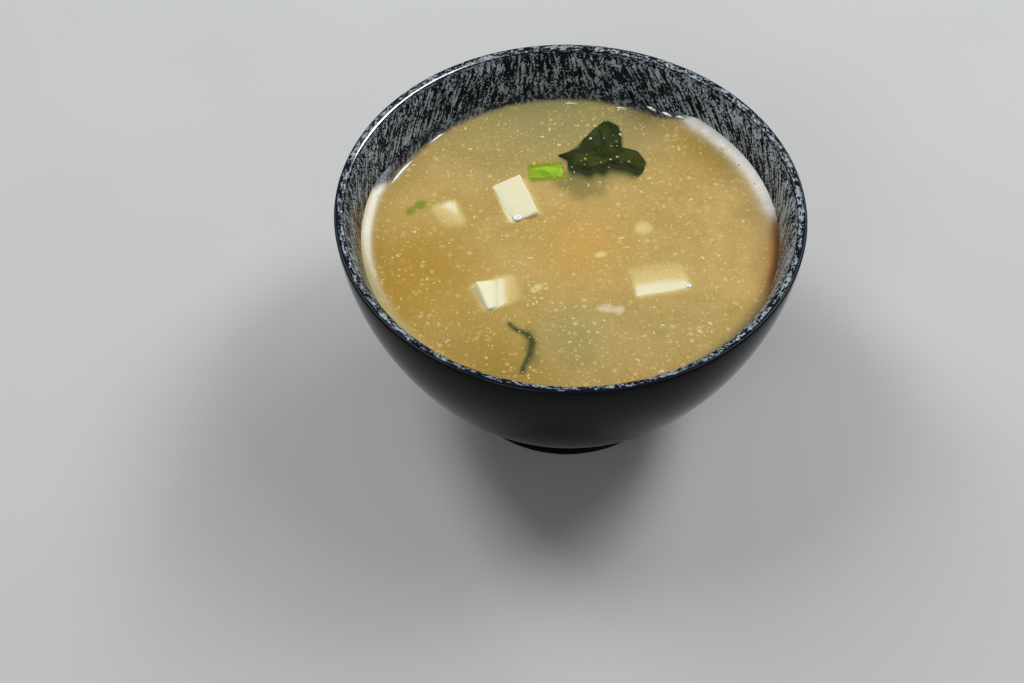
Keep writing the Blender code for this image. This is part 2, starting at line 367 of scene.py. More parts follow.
def bowl_section():
    floor_depth = BODY_DEPTH * FLOOR_SHARE
    inside = [inner_point(floor_depth * math.sin(step / INNER_STEPS * math.pi / 2))
              for step in range(INNER_STEPS + 1)]
    inside = [point for point in inside if point[0] > 2.0]
    floor = (AXIS, inside[-1][1] - 0.3)
    lip_height = BOWL_HEIGHT - LIP_ROUND
    lip = arc((RIM_RADIUS - LIP_WIDTH + LIP_INNER_ROUND, BOWL_HEIGHT - LIP_INNER_ROUND),
              LIP_INNER_ROUND, 180, 90, LIP_INNER_STEPS)
    lip += arc((RIM_RADIUS - LIP_ROUND, lip_height), LIP_ROUND, 90, 0, LIP_STEPS)
    body_end = BOWL_HEIGHT - FOOT_HEIGHT
    outside = []
    for step in range(1, OUTER_STEPS + 1):
        depth = body_end * (step / OUTER_STEPS) ** 0.8
        outside.append((body_radius(depth), BOWL_HEIGHT - depth))
    inner_foot = FOOT_RADIUS - FOOT_RING
    foot = [
        (FOOT_RADIUS - FOOT_TAPER + 0.35, FOOT_HEIGHT - 0.75),
        (FOOT_RADIUS - FOOT_TAPER, FOOT_HEIGHT - 1.4),
        (FOOT_RADIUS - 0.45, 2.6),
        (FOOT_RADIUS, 0.5), (FOOT_RADIUS - 0.15, 0.15), (FOOT_RADIUS - 0.5, 0.0),
        (inner_foot + 0.5, 0.0), (inner_foot + 0.15, 0.15), (inner_foot, 0.5),
        (inner_foot - 0.3, FOOT_RECESS - 0.5), (inner_foot - 0.8, FOOT_RECESS),
        (AXIS, FOOT_RECESS + 0.3),
    ]
    return [floor] + inside[:0:-1] + lip + outside + foot


section = bowl_section()
bowl = settle(throw("bowl_turned", section, BOWL_SIDES), crease=60)
print("section of", len(section), "points")

# %% [markdown]
# The outside is plain black lacquer: very dark, glossy, and not quite even. A trace of
# unevenness in its gloss is all that it needs.

# %% Black lacquer
lacquer = Finish("black_lacquer", IOR=1.14)
point = lacquer.point()
cloud = lacquer.noise(point, 14.0, detail=3)
lacquer.set(
    Base_Color=lacquer.mix(cloud, (0.0025, 0.0027, 0.0035, 1), (0.005, 0.0052, 0.0065, 1)),
    Roughness=cloud * 0.10 + 0.06,
    Normal=lacquer.bump(lacquer.noise(point, 9.0), 0.012),
)
print(lacquer.material.name, "has", len(lacquer.tree.nodes), "nodes")

# %% [markdown]
# The inside carries silver-grey flecks, as if a dry brush had been dragged over the black.
# They all lean the same way, up the wall and back, so the pattern is read along lines that
# start on the waterline and lean back as they climb. Stretched noise gives the streaks, finer
# round noise the dots, and a broad cloud gathers them in clumps. The lip's own flecks are
# closer and rounder.

# %% Silver flecks
LEAN = 1.45                     # how far the streaks lean over for each step that they climb
LEAN_X, LEAN_Y = LEAN * math.cos(math.radians(97)), LEAN * math.sin(math.radians(97))


def fleck_pattern(finish, point, x, y, z):
    """The flecks, 0 or 1, their silver colour, and where the lip is."""
    out = (x * x + y * y).root()
    climb = z - SOUP_LEVEL * MM
    leaned_x = x - climb * LEAN_X
    leaned_y = y - climb * LEAN_Y
    reach = (leaned_x * leaned_x + leaned_y * leaned_y).root() / (SOUP_RADIUS * MM)
    along = finish.vector(leaned_x / reach, leaned_y / reach,
                          climb * 0.14 + (out - SOUP_RADIUS * MM) * 0.35)
    clump = finish.noise(point, 4.0, detail=2) - 0.5
    streaks = finish.noise(along, 0.95, detail=3.0, roughness=0.6, distortion=0.3) - 0.5
    crumbs = finish.noise(point, 0.60, detail=2.5, roughness=0.7, distortion=0.5) - 0.5
    crowded = (x / out).between(0.2, 0.9) * 0.035 - 0.012
    on_wall = (streaks * 0.90 + crumbs * 0.80 + clump * 0.30 + crowded).between(0.01, 0.055)
    round_rim = finish.vector(x / out * 26 * MM, y / out * 26 * MM, out * 1.3)
    dashes = finish.noise(round_rim, 0.75, detail=3.0, roughness=0.65, distortion=0.4) - 0.5
    on_lip = (dashes + crumbs * 0.6 + clump * 0.3).between(0.0, 0.06)
    lip_zone = z.between((BOWL_HEIGHT - 1.6) * MM, (BOWL_HEIGHT - 0.3) * MM)
    to_rim = (RIM_RADIUS - 0.75) * MM - out + (y / out).between(-0.3, 0.5) * (0.5 * MM)
    painted = (to_rim + finish.noise(point, 3.0, detail=3) * 0.0016).between(0.0009, 0.0013)
    flecks = (on_wall * (1 - lip_zone) + on_lip * lip_zone) * painted
    shade = finish.noise(point, 1.1, detail=3).between(0.3, 0.7) * 0.42 + 0.58
    return flecks, finish.tint(colour(172, 182, 188), shade), lip_zone


flecked = Finish("flecked_lacquer", IOR=1.4, Coat_Roughness=0.12, Coat_IOR=2.8,
                 Specular_IOR_Level=0.18)
point, x, y, z = flecked.place()
out = (x * x + y * y).root()
flecks, silver, lip_zone = fleck_pattern(flecked, point, x, y, z)
dried = flecked.noise(flecked.stretched(point, 1.0, 1.0, 0.3), 1.6, detail=4, roughness=0.6)
low = 1 - (z - dried * 0.004).between((SOUP_LEVEL + 0.5) * MM, (SOUP_LEVEL + 6.0) * MM)
front_half = 1 - (y / out).between(-0.1, 0.35)
lacquer_colour = flecked.mix(flecks, (0.004, 0.006, 0.011, 1), silver)
inner_edge = (1 - out.between((RIM_RADIUS - LIP_WIDTH + 1.0) * MM,
                              (RIM_RADIUS - LIP_WIDTH + 1.9) * MM))
back_left = (y / out).between(0.20, 0.45) * (1 - (x / out).between(-0.45, -0.15))
flecked.set(
    Base_Color=flecked.mix(low * front_half * dried.between(0.40, 0.6) * 0.75,
                           lacquer_colour, colour(146, 110, 56)),
    Metallic=flecks * 0.15,
    Roughness=flecks * 0.2 + 0.22,
    Coat_Weight=lip_zone * inner_edge * back_left * 0.98 + 0.01,
    Normal=flecked.bump(flecks, 0.02),
)
print(flecked.material.name, "has", len(flecked.tree.nodes), "nodes")

# %% Flecks inside and on the lip, plain lacquer outside
LIP_TOP = 0.3                   # mm below the rim that are all flecked
FOOT_TOP = 6.0                  # nothing below this height is flecked
WALL_MARGIN = 0.6               # mm from the inner surface that count as inside

dress(bowl, "black_lacquer", lacquer.material, flecked.material)
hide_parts("bowl")
for face in bowl.data.polygons:
    middle = face.center / MM
    out = math.hypot(middle.x, middle.y)
    if middle.z > BOWL_HEIGHT - LIP_TOP:
        face.material_index = 1
    elif middle.z > FOOT_TOP and out < radius_inside(middle.z) + WALL_MARGIN:
        face.material_index = 1
print(sum(face.material_index for face in bowl.data.polygons), "flecked faces")

# %% [markdown]
# ## Tofu
# Each cube of silken tofu was cut with a wire, so its faces are flat but never quite true and
# its edges are a little soft. Two stand a little out of the soup, and the other two lie just
# under it, where they show as colour alone. A cube is added, moved so that the end of its
# highest edge is its origin, divided finely and then made uneven with noise.

# %% Where the cubes hang
TOFU_CUBES = {
    "tofu_back": ((-12.8, 19.9, 2.6), (15.5, 3.5, -69.5), (13.8, -8.2, 11.0)),
    "tofu_front_left": ((-23.9, -17.1, 2.2), (-20.5, 8.5, -68.0), (8.8, 11.0, 11.0)),
    "tofu_front_right": ((30.4, -17.3, 0.0), (15.0, -0.5, -168.0), (14.0, -10.0, 10.0)),
    "tofu_back_left": ((-30.2, 12.2, 0.35), (17.0, 12.0, -68.0), (9.2, -6.8, 9.0)),
}
TOFU_EDGE = 0.5                 # mm of soft edge


def uneven(point, size, depth, seed=0.0):
    """A soft bump or hollow, in millimetres, for a point given in millimetres."""
    return depth * noise.noise(Vector(point) / size + Vector((seed, seed, seed)))


# %% Tofu
def cut_tofu(name, place, turn, size):
    let_go()
    bpy.ops.mesh.primitive_cube_add(size=1.0)
    cube = name_new(name + "_cut")
    length, breadth, height = size
    bpy.ops.object.mode_set(mode="EDIT")
    bpy.ops.mesh.select_all(action="SELECT")
    bpy.ops.transform.resize(value=(length * MM, abs(breadth) * MM, height * MM))
    bpy.ops.transform.translate(value=(length / 2 * MM, breadth / 2 * MM, -height / 2 * MM))
    bpy.ops.mesh.bevel(offset=TOFU_EDGE * MM, segments=3, affect="EDGES")
    bpy.ops.mesh.select_all(action="SELECT")
    bpy.ops.mesh.subdivide(number_cuts=5)
    bpy.ops.object.mode_set(mode="OBJECT")
    fine = cube.modifiers.new("fine", "SUBSURF")
    fine.subdivision_type = "SIMPLE"
    fine.levels = fine.render_levels = 1
    take(cube)
    bpy.ops.object.modifier_apply(modifier="fine")
    outward = [corner.normal.copy() for corner in cube.data.vertices]
    for corner, away in zip(cube.data.vertices, outward):
        spot = corner.co / MM
        swell = uneven(spot, 5.0, 0.16, seed=length) + uneven(spot, 0.9, 0.04, seed=height)
        corner.co += away * swell * MM
    x, y, above_soup = place
    cube.location = Vector((x, y, SOUP_LEVEL + above_soup)) * MM
    cube.rotation_euler = Euler([math.radians(angle) for angle in turn])
    return settle(cube, crease=50)


tofu_finish = Finish(
    "tofu", IOR=1.4, Roughness=0.38, Subsurface_Weight=0.7, Subsurface_Scale=0.002,
    Subsurface_Radius=(1.0, 0.85, 0.55))
point, _, _, z = tofu_finish.place()
curd = tofu_finish.noise(point, 0.45, detail=3)
cloud = tofu_finish.noise(point, 3.5, detail=2)
dry = (z + cloud * 0.0006).between((SOUP_LEVEL - 0.1) * MM, (SOUP_LEVEL + 1.2) * MM)
wet_colour = tofu_finish.mix(cloud, colour(219, 202, 150), colour(225, 210, 164))
dry_colour = tofu_finish.mix(curd, colour(227, 214, 176), colour(236, 225, 190))
tofu_finish.set(
    Base_Color=tofu_finish.mix(dry, wet_colour, dry_colour),
    Normal=tofu_finish.bump(curd + cloud * 0.6, 0.03),
)

tofu = [dress(cut_tofu(name, *shape), "tofu", tofu_finish.material)
        for name, shape in TOFU_CUBES.items()]
for cube, name in zip(tofu, TOFU_CUBES):
    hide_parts(name)

# %% [markdown]
# ## Wakame
# Wakame is a thin, dark, slippery seaweed. The leaf lies in shallow folds just out of the
# soup, and its front dives under. A fine grid is cut to the leaf's outline, laid in folds with
# small wrinkles, and given its thickness.

# %% The leaf's outline
LEAF_OUTLINE = [
    (-2.4, 28.9, True), (1.5, 31.2, False), (5.8, 36.6, False), (10.6, 41.4, True),
    (14.0, 38.9, True), (14.6, 35.0, False), (14.7, 31.2, True), (16.9, 30.7, False),
    (18.9, 29.9, False), (21.0, 26.0, True), (18.4, 20.4, False), (10.5, 16.0, False),
    (5.5, 10.5, False),
    (0.6, 13.5, False), (0.5, 20.5, False), (-0.1, 27.0, True),
]
LEAF_CREST = 26.6               # mm behind the axis: the fold in front of which it dives
LEAF_WAVE = 11.4                # mm from one fold to the next
LEAF_SWELL = 0.7                # mm: height of the folds
LEAF_DIVE = 0.5                 # slope of the front part
LEAF_LOBE = 14.0                # mm: right of this, the leaf lies flat
LEAF_CELL = 0.4
LEAF_THICKNESS = 0.5


def curve_through(points, steps):
    """Points of a Catmull-Rom curve through the given ones."""
    ends = [points[0]] + list(points) + [points[-1]]
    route = []
    for before, start, end, after in zip(ends, ends[1:], ends[2:], ends[3:]):
        for step in range(steps):
            t = step / steps
            route.append(tuple(
                0.5 * (2 * b + (c - a) * t + (2 * a - 5 * b + 4 * c - d) * t ** 2
                       + (3 * b - a - 3 * c + d) * t ** 3)
                for a, b, c, d in zip(before, start, end, after)))
    return route + [points[-1]]


def outline_points(outline, steps):
    """A closed line that is round at its plain points and sharp at its corners."""
    line, stretch = [], [outline[0][:2]]
    for x, y, corner in outline[1:] + outline[:1]:
        stretch.append((x, y))
        if corner:
            line += curve_through(stretch, steps)[:-1]
            stretch = [(x, y)]
    return line


leaf_line = outline_points(LEAF_OUTLINE, 10)
print("the leaf's outline has", len(leaf_line), "points")


# %% Cutting a sheet to an outline
def is_inside(x, y, line):
    inside = False
    for (x0, y0), (x1, y1) in zip(line, line[1:] + line[:1]):
        if (y0 > y) != (y1 > y) and x < (x1 - x0) * (y - y0) / (y1 - y0) + x0:
            inside = not inside
    return inside


def nearest_on(x, y, line):
    """The nearest point of a closed line."""
    best = None
    for (x0, y0), (x1, y1) in zip(line, line[1:] + line[:1]):
        length = (x1 - x0) ** 2 + (y1 - y0) ** 2
        share = ((x - x0) * (x1 - x0) + (y - y0) * (y1 - y0)) / max(length, 1e-9)
        share = min(max(share, 0), 1)
        spot = (x0 + (x1 - x0) * share, y0 + (y1 - y0) * share)
        far = math.hypot(spot[0] - x, spot[1] - y)
        if best is None or far < best[0]:
            best = (far, spot)
    return best[1]


def cut_sheet(name, line, cell):
    """A flat grid of cells, cut to a line of points in millimetres."""
    let_go()
    left, right = min(p[0] for p in line), max(p[0] for p in line)
    front, back = min(p[1] for p in line), max(p[1] for p in line)
    bpy.ops.mesh.primitive_grid_add(
        x_subdivisions=round((right - left) / cell),
        y_subdivisions=round((back - front) / cell), size=1.0)
    piece = name_new(name)
    for corner in piece.data.vertices:
        corner.co = (left + (corner.co.x + 0.5) * (right - left),
                     front + (corner.co.y + 0.5) * (back - front), 0.0)
    shape = bmesh.new()
    shape.from_mesh(piece.data)
    outside = [face for face in shape.faces
               if not is_inside(*face.calc_center_median().xy, line)]
    bmesh.ops.delete(shape, geom=outside, context="FACES")
    for corner in shape.verts:
        if corner.is_boundary:
            corner.co.x, corner.co.y = nearest_on(corner.co.x, corner.co.y, line)
    shape.to_mesh(piece.data)
    shape.free()
    return piece


# %% The leaf
def leaf_height(x, y):
    """Height of the leaf above the soup, in millimetres."""
    ripple = 0.10 * math.sin(1.3 * x + 0.6 * y)
    crest = LEAF_CREST + 0.9 * math.sin(0.42 * x + 2.4) + uneven((x, 0, 9), 1.7, 1.1)
    if y < crest:
        drop = crest - y
        return LEAF_SWELL - LEAF_DIVE * drop * min(drop / 2.0, 1.0) + ripple
    folds = LEAF_SWELL * (0.62 + 0.38 * math.cos(math.tau * (y - crest) / LEAF_WAVE))
    lean = min(0.30 * (x - 8.0), 0.3) * min(max((y - 28.0) / 4.0, 0.0), 1.0)
    flat = min(max((x - LEAF_LOBE) / 2.0, 0.0), 1.0)
    return (folds + lean) * (1 - flat) + 0.45 * flat + ripple


leaf = cut_sheet("wakame_sheet", leaf_line, LEAF_CELL)
for corner in leaf.data.vertices:
    x, y = corner.co.x, corner.co.y
    wrinkle = uneven((x * 0.6, y, 0), 2.6, 0.16) + uneven((x, y, 5), 0.9, 0.02)
    corner.co = Vector((x, y, SOUP_LEVEL + leaf_height(x, y) + wrinkle)) * MM
leaf_body = leaf.modifiers.new("thickness", "SOLIDIFY")
leaf_body.thickness = LEAF_THICKNESS * MM
leaf_body.offset = 0.0
settle(leaf, crease=60)

# %% Wakame's finish
wakame = Finish("wakame", IOR=1.4, Specular_IOR_Level=0.12)
point = wakame.point()
veins = wakame.noise(wakame.stretched(point, 1.0, 2.2, 1.0), 1.1, detail=4, roughness=0.6)
cloud = wakame.noise(point, 5.0, detail=2)
dark = wakame.mix(veins, colour(24, 30, 8), colour(48, 56, 16))
pale = wakame.mix(veins, colour(42, 52, 16), colour(68, 76, 28))
wakame.set(
    Base_Color=wakame.mix(cloud.between(0.35, 0.65), dark, pale),
    Roughness=veins * 0.2 + 0.32,
    Normal=wakame.bump(veins, 0.06),
)
dress(leaf, "wakame", wakame.material)
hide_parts("wakame_leaf")

# %% [markdown]
# The strand near the front is a narrow piece of the same weed. It stands on edge wholly under
# the soup, and shows there as colour. A narrow grid is bent along its route, and leans over as
# it goes.

# %% The strand
STRAND_ROUTE = [
    (-15.8, -28.8), (-13.9, -31.1), (-11.5, -32.5), (-9.9, -34.9),
    (-10.3, -38.0), (-11.8, -41.8), (-12.9, -45.2),
]
STRAND_HEIGHT = 5.0
STRAND_TWIST = 1.8              # mm that it leans left at one end and right at the other
STRAND_ABOVE_SOUP = -0.95
STRAND_THICKNESS = 1.3
STRAND_CELLS_DOWN = 12

strand_route = curve_through(STRAND_ROUTE, 8)
let_go()
bpy.ops.mesh.primitive_grid_add(
    x_subdivisions=len(strand_route) - 1, y_subdivisions=STRAND_CELLS_DOWN, size=1.0)
strand = name_new("wakame_strip")
for corner in strand.data.vertices:
    along = corner.co.x + 0.5
    down = 0.5 - corner.co.y
    x, y = strand_route[round(along * (len(strand_route) - 1))]
    x += STRAND_TWIST * (2 * along - 1) * down + uneven((x, y, down * 5), 2.0, 0.35)
    frill = 0.18 * math.sin(along * 17.0) * (1 - down)
    corner.co = Vector((x, y, SOUP_LEVEL + STRAND_ABOVE_SOUP - frill * frill * 4
                        - down * STRAND_HEIGHT)) * MM
strand_body = strand.modifiers.new("thickness", "SOLIDIFY")
strand_body.thickness = STRAND_THICKNESS * MM
strand_body.offset = 0.0
dress(settle(strand, crease=60), "wakame", wakame.material)
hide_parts("wakame_strand")

# %% [markdown]
# ## Spring onion
# The green part of a spring onion is a hollow leaf. A cut piece of it floats as a squashed
# tube, slit open below. A tube without ends is added, its lowest strip is deleted, and the
# rest is given the wall's thickness.

# %% Pieces of spring onion
ONION_PIECES = {
    "spring_onion": ((-5.7, 22.9, 0.5), (0.0, -2.0, 6.0), (9.3, 3.3)),
    "spring_onion_small": ((-38.9, 10.9, -0.65), (0.0, 8.0, 62.0), (3.4, 1.5)),
}
ONION_WALL = 0.27               # wall thickness over the radius
ONION_FLATTENED = 0.62          # height of the squashed tube over its width
ONION_OPEN = 60.0               # degrees left open below


def cut_onion(name, place, turn, size):
    length, radius = size
    let_go()
    bpy.ops.mesh.primitive_cylinder_add(
        vertices=72, radius=radius, depth=length, end_fill_type="NOTHING",
        rotation=(0, math.radians(90), 0))
    tube = name_new(name + "_cut")
    bpy.ops.object.transform_apply(location=True, rotation=True, scale=True)
    bpy.ops.object.mode_set(mode="EDIT")
    for cuts in (1, 3):
        bpy.ops.mesh.select_all(action="SELECT")
        bpy.ops.mesh.subdivide(number_cuts=cuts)
    bpy.ops.object.mode_set(mode="OBJECT")
    shape = bmesh.new()
    shape.from_mesh(tube.data)
    half_open = math.radians(ONION_OPEN / 2)
    slit = [face for face in shape.faces
            if abs(math.atan2(face.calc_center_median().y, -face.calc_center_median().z))
            < half_open]
    bmesh.ops.delete(shape, geom=slit, context="FACES")
    for corner in shape.verts:
        turn_round = math.atan2(corner.co.y, corner.co.z)
        rib = 0.012 * math.sin(turn_round * 17) + uneven(corner.co, 2.0, 0.05, seed=radius)
        corner.co.y *= 1 + rib
        corner.co.z *= (1 + rib) * ONION_FLATTENED
        end = corner.co.x / (length / 2)
        corner.co.x -= end * abs(end) ** 5 * (0.25 + uneven(corner.co, 1.2, 0.5))
    shape.to_mesh(tube.data)
    shape.free()
    wall = tube.modifiers.new("wall", "SOLIDIFY")
    wall.thickness = ONION_WALL * radius
    wall.offset = -1.0
    tube.scale = (MM, MM, MM)
    x, y, above_soup = place
    tube.location = Vector((x, y, SOUP_LEVEL + above_soup - radius * ONION_FLATTENED)) * MM
    tube.rotation_euler = Euler([math.radians(angle) for angle in turn])
    return settle(tube, crease=50)


onion_finish = Finish("spring_onion", IOR=1.45, Roughness=0.35, Subsurface_Weight=0.25,
                      Subsurface_Scale=0.001, Subsurface_Radius=(0.6, 1.0, 0.2))
point = onion_finish.point()
ribs = onion_finish.noise(onion_finish.stretched(point, 1.0, 4.0, 1.0), 1.2, detail=2)
cloud = onion_finish.noise(point, 2.2, detail=2)
onion_finish.set(
    Base_Color=onion_finish.mix(
        cloud.between(0.3, 0.7), colour(118, 156, 20),
        onion_finish.mix(ribs, colour(146, 182, 28), colour(178, 206, 56))),
    Normal=onion_finish.bump(ribs, 0.05),
)
onions = []
for name, shape in ONION_PIECES.items():
    onion = dress(cut_onion(name, *shape), "spring_onion", onion_finish.material)
    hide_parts(name)
    onions.append(onion)

# %% [markdown]
# ## What is sunk in the soup
# The soup is cloudy, so a piece that lies a few millimetres down shows only as a pale or a
# green blur. Small scraps of tofu skin, rice, spring onion and wakame are modelled where such
# blurs are, as flattened uneven pebbles, and later the soup's colour is worked out from them.

# %% Sunk scraps
def scraps(name, places):
    """Flat uneven scraps: middle, half sizes and heading in the xy plane."""
    made = []
    for index, (middle, half, heading) in enumerate(places):
        let_go()
        bpy.ops.mesh.primitive_ico_sphere_add(subdivisions=4, radius=1.0)
        scrap = name_new(name)
        for corner in scrap.data.vertices:
            swell = 1 + uneven(corner.co, 0.55, 0.5, seed=index * 3.1)
            corner.co = Vector(corner.co[axis] * swell * half[axis] for axis in range(3))
        scrap.rotation_euler = (0, 0, math.radians(heading))
        scrap.scale = (MM, MM, MM)
        scrap.location = Vector((middle[0], middle[1], SOUP_LEVEL + middle[2])) * MM
        made.append(scrap)
    take(*made)
    bpy.ops.object.join()
    return settle(bpy.context.object)


tofu_scraps = scraps("tofu_scraps", [
    ((-8.5, -17.6, -1.1), (1.9, 0.7, 0.4), 40),
    ((7.9, -6.4, -1.2), (1.5, 0.9, 0.4), 10),
    ((19.2, 2.8, -1.6), (2.2, 1.9, 0.5), 0),
])
dress(tofu_scraps, "tofu", tofu_finish.material)

flakes = scraps("rice_flakes", [
    ((9.9, -24.6, -1.15), (3.4, 1.0, 0.30), -8),
    ((8.2, -23.9, -1.25), (2.0, 0.9, 0.28), 25),
    ((12.2, -24.9, -1.10), (1.6, 1.1, 0.32), 60),
    ((21.8, -44.4, -0.05), (0.6, 0.45, 0.3), 0),
])
rice = Finish("rice", IOR=1.4, Roughness=0.35, Subsurface_Weight=0.4, Subsurface_Scale=0.001)
point = rice.point()
rice.set(Base_Color=rice.mix(rice.noise(point, 0.9, detail=3), colour(214, 202, 168),
                             colour(236, 230, 214)))
dress(flakes, "tofu", rice.material)

green_scraps = scraps("spring_onion_scraps", [
    ((21.8, -32.4, -2.2), (2.0, 1.8, 0.5), 20),
    ((41.0, -25.0, -2.5), (2.6, 2.2, 0.5), 0),
    ((-41.4, 8.6, -1.2), (1.8, 1.1, 0.4), 60),
    ((23.5, -9.0, -2.6), (2.4, 0.9, 0.4), 10),
])
dress(green_scraps, "spring_onion", onion_finish.material)

weed_scraps = scraps("wakame_scraps", [
    ((0.5, -34.5, -3.6), (6.0, 4.5, 0.4), 20),
    ((-10.0, -36.5, -2.2), (2.0, 7.0, 0.4), 10),
    ((3.0, 19.0, -2.3), (7.5, 5.5, 0.4), -25),
    ((1.0, -41.0, -3.2), (5.0, 3.0, 0.4), 0),
])
dress(weed_scraps, "wakame", wakame.material)

# %% [markdown]
# ## The soup
# Its top is a fine grid, drawn out from a square to a disc. The liquid is level in the middle,
# curls up where it wets the bowl's wall, and a little where it wets the toppings. Below the
# top, the body of the soup follows the inside of the bowl.

# %% A fine disc
GRID = 256
EDGE_RISE = 2.5                 # mm that the soup climbs the wall at the right
EDGE_RISE_LEFT = 1.9            # at the left
EDGE_RISE_BACK = 0.3            # and at the back and the front
EDGE_WIDTH = 8.0                # mm over which it climbs at the right
EDGE_WIDTH_LEFT = 5.6           # and elsewhere
INTO_WALL = 0.12                # mm, so that no gap shows


def smooth_step(value, low, high):
    share = min(max((value - low) / (high - low), 0.0), 1.0)
    return share * share * (3 - 2 * share)


def edge_rise(turn):
    """How far the soup climbs the wall, in a direction from the axis."""
    to_right, to_back = math.cos(turn), math.sin(turn)
    if to_back < 0:
        right, left = smooth_step(to_right, 0.12, 0.48), smooth_step(-to_right, 0.12, 0.48)
    else:
        right, left = smooth_step(to_right, 0.50, 0.68), smooth_step(-to_right, 0.84, 0.95)
    return (EDGE_RISE_BACK + (EDGE_RISE - EDGE_RISE_BACK) * right
            + (EDGE_RISE_LEFT - EDGE_RISE_BACK) * left)


def edge_width(turn):
    share = smooth_step(math.cos(turn), 0.1, 0.6)
    return EDGE_WIDTH_LEFT + (EDGE_WIDTH - EDGE_WIDTH_LEFT) * share


EDGE_STEPS = 20
EDGE_RADII = [radius_inside(SOUP_LEVEL + EDGE_RISE * step / EDGE_STEPS) + INTO_WALL
              for step in range(EDGE_STEPS + 1)]


def edge_radius(turn):
    """Where the soup's edge is, just inside the wall, in a direction from the axis."""
    place = edge_rise(turn) / EDGE_RISE * EDGE_STEPS
    low = min(int(place), EDGE_STEPS - 1)
    return EDGE_RADII[low] + (EDGE_RADII[low + 1] - EDGE_RADII[low]) * (place - low)


let_go()
bpy.ops.mesh.primitive_grid_add(x_subdivisions=GRID, y_subdivisions=GRID, size=2.0)
soup = name_new("soup_filled")
for corner in soup.data.vertices:
    x, y = corner.co.x, corner.co.y
    turn = math.atan2(y, x)
    corner.co.x = x * math.sqrt(1 - y * y / 2) * edge_radius(turn)
    corner.co.y = y * math.sqrt(1 - x * x / 2) * edge_radius(turn)
print("soup cells are about", round(2 * SOUP_RADIUS / GRID, 2), "mm")


# %% Where the toppings cross the soup
def waterline(piece):
    """Points where the edges of a piece pass through the soup's level, in millimetres."""
    level = SOUP_LEVEL * MM
    points = []
    corners = piece.data.vertices
    for edge in piece.data.edges:
        a, b = (corners[index].co for index in edge.vertices)
        if (a.z > level) != (b.z > level):
            share = (level - a.z) / (b.z - a.z)
            points.append(((a + (b - a) * share) / MM).to_2d())
    return points


def tree_of_points(points):
    tree = KDTree(len(points))
    for index, point in enumerate(points):
        tree.insert((point.x, point.y, 0), index)
    tree.balance()
    return tree


cube_lines = tree_of_points([point for cube in tofu for point in waterline(cube)])
green_lines = tree_of_points([point for piece in [leaf, strand] + onions
                              for point in waterline(piece)])


# %% The soup's height
CUBE_RISE, CUBE_REACH = 0.04, 0.9       # mm up a cube's side, and how fast it falls off
GREEN_RISE, GREEN_REACH = 0.12, 0.8     # the same for weed and onion


def soup_height(x, y):
    """Height of the surface, in millimetres."""
    turn = math.atan2(y, x)
    to_edge = max(edge_radius(turn) - math.hypot(x, y), 0.0)
    climb = max(1 - to_edge / edge_width(turn), 0.0)
    height = SOUP_LEVEL + edge_rise(turn) * climb ** 2
    height += CUBE_RISE * math.exp(-cube_lines.find((x, y, 0))[2] / CUBE_REACH)
    height += GREEN_RISE * math.exp(-green_lines.find((x, y, 0))[2] / GREEN_REACH)
    return height + uneven((x, y, 0), 9.0, 0.03)


for corner in soup.data.vertices:
    x, y = corner.co.x, corner.co.y
    corner.co = Vector((x, y, soup_height(x, y))) * MM

# %% The body of the soup, down to the floor of the bowl
BODY_GAP = 0.25                 # mm between the body and the wall
BODY_TOP = 12.6                 # depth below the rim of the first ring of the body
BODY_RINGS = 12

take(soup)
bpy.ops.object.mode_set(mode="EDIT")
bpy.ops.mesh.select_all(action="SELECT")
bpy.ops.mesh.region_to_loop()
bpy.ops.mesh.extrude_edges_move(TRANSFORM_OT_translate={"value": (0, 0, 0)})
bpy.ops.object.mode_set(mode="OBJECT")
radius, height = inner_point(BODY_TOP)
for corner in soup.data.vertices:
    if corner.select:
        turn = math.atan2(corner.co.y, corner.co.x)
        corner.co = Vector((radius * math.cos(turn), radius * math.sin(turn), height)) * MM
bpy.ops.object.mode_set(mode="EDIT")
for step in range(1, BODY_RINGS + 1):
    next_radius, next_height = inner_point(
        BODY_TOP + 3 + (BODY_DEPTH * 0.93 - BODY_TOP - 3) * (step / BODY_RINGS) ** 0.8)
    next_radius -= BODY_GAP
    next_height += BODY_GAP
    bpy.ops.mesh.extrude_edges_move(
        TRANSFORM_OT_translate={"value": (0, 0, (next_height - height) * MM)})
    share = next_radius / radius
    bpy.ops.transform.resize(value=(share, share, 1), center_override=(0, 0, next_height * MM))
    radius, height = next_radius, next_height
bpy.ops.mesh.edge_face_add()
bpy.ops.object.mode_set(mode="OBJECT")
settle(soup, crease=50)

# %% [markdown]
# A ray straight down from each point of the surface, and a few slanting ones, find how deep
# the nearest tofu, weed or onion lies below it. The share that still shows falls off with the
# depth, and the slanting rays blur it. The shares are kept on the mesh as attributes, and the
# soup's material mixes its colours by them. The soup itself is opaque, so this colour is all
# that shows of a piece that lies wholly under it.

# %% Looking down into the soup
FAN = [(0.0, 0.0)] + [
    (slope * math.cos(turn), slope * math.sin(turn))
    for slope, count in ((0.3, 6), (0.62, 8))
    for turn in (math.tau * index / count for index in range(count))]
NEAR = 0.5                      # mm under the surface where a piece still shows sharply
GLOW = 1.35                     # how much wider than itself a sunk piece shows
BESIDE = 3.0                    # mm round a piece where its blur is looked for


def tree_of_faces(pieces):
    corners, faces = [], []
    for piece in pieces:
        first = len(corners)
        corners += [corner.co.copy() for corner in piece.data.vertices]
        faces += [[first + index for index in face.vertices] for face in piece.data.polygons]
    return BVHTree.FromPolygons(corners, faces)


